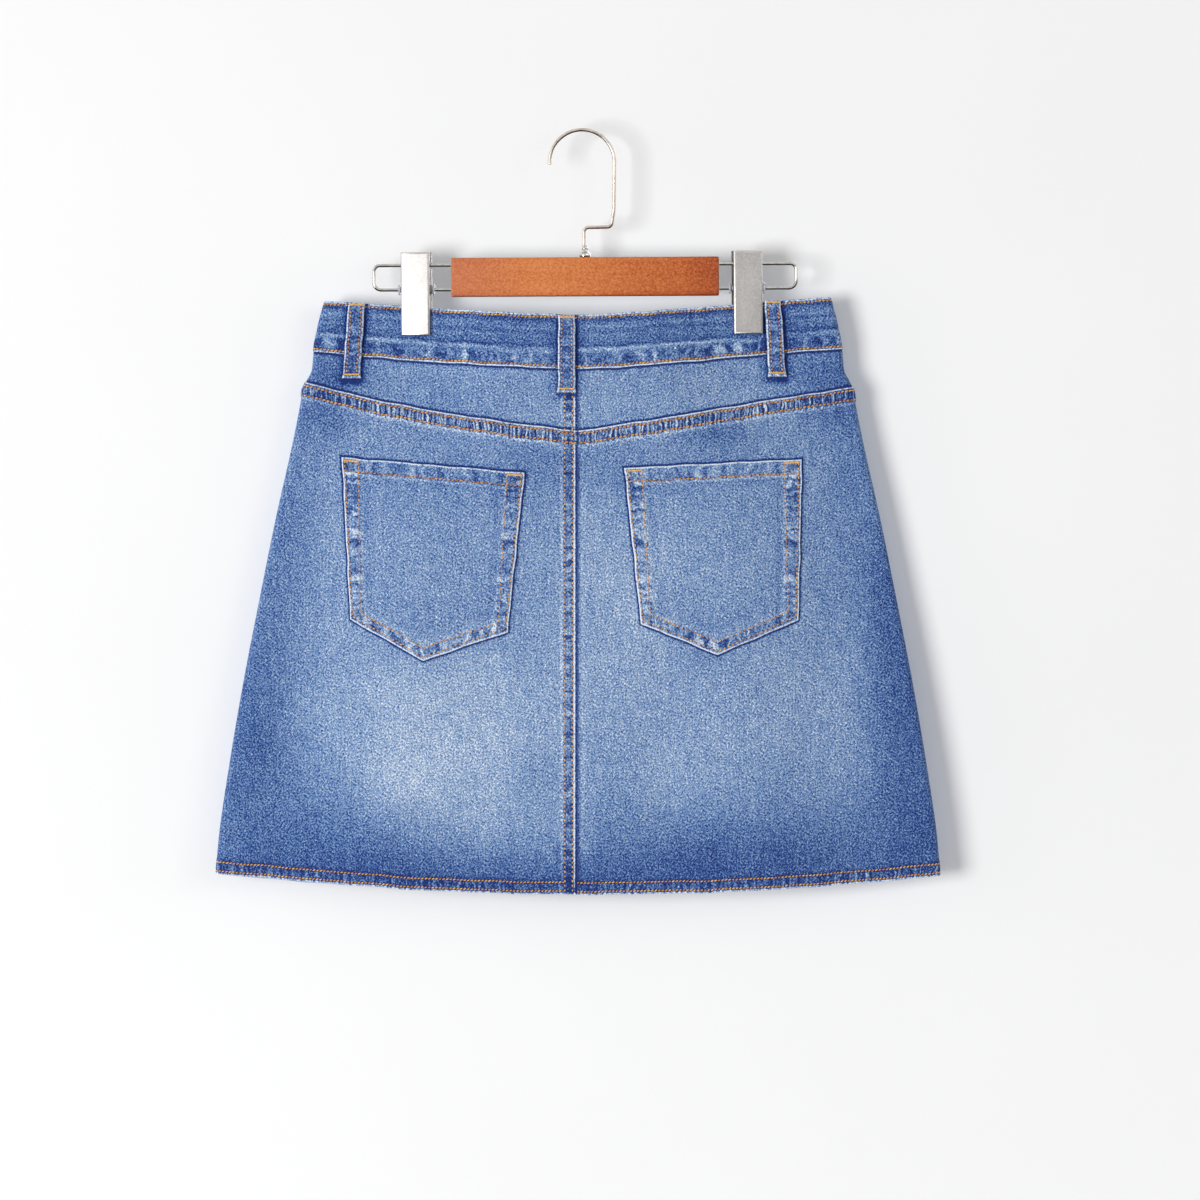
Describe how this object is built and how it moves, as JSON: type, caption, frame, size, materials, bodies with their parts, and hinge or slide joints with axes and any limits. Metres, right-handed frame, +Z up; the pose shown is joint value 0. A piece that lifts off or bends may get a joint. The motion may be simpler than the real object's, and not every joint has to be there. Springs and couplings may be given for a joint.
{
  "type": "denim skirt on a clip hanger",
  "caption": "A-line denim mini skirt with back yoke, patch pockets and belt loops, held flat by the clips of a wooden-bar hanger.",
  "frame": {"origin": "the underside of the hook's top, where a peg or rail carries the hanger", "axes": "+Z up; +X to the right of the skirt's back; the skirt's back faces -Y"},
  "size_m": [0.5445, 0.0379, 0.5754],
  "materials": {
    "denim": "washed mid-blue stretch denim, twill weave, matt",
    "thread": "tan topstitching thread",
    "wood": "orange-brown stained, satin lacquer",
    "nickel": "nickel-plated steel wire, semi-bright",
    "satin_steel": "satin nickel-plated pressed steel",
    "clear_plastic": "clear moulded plastic"
  },
  "bodies": {
    "root": {"waistband_back": "denim", "waistband_front_left": "denim", "waistband_front_right": "denim", "yoke_left": "denim", "yoke_right": "denim", "back_panel_left": "denim", "back_panel_right": "denim", "front_panel_left": "denim", "front_panel_right": "denim", "pocket_left": "denim", "pocket_right": "denim", "belt_loop_back_left": "denim", "belt_loop_back_middle": "denim", "belt_loop_back_right": "denim", "belt_loop_front_left": "denim", "belt_loop_front_right": "denim", "waist_button": "nickel", "hanger_bar": "wood", "hanger_hook": "nickel", "hook_ferrule": "nickel", "hanger_wire_left": "nickel", "hanger_wire_right": "nickel", "clip_left_near": "satin_steel", "clip_left_far": "satin_steel", "clip_left_bushing": "clear_plastic", "clip_right_near": "satin_steel", "clip_right_far": "satin_steel", "clip_right_bushing": "clear_plastic"}
  },
  "joints": []
}
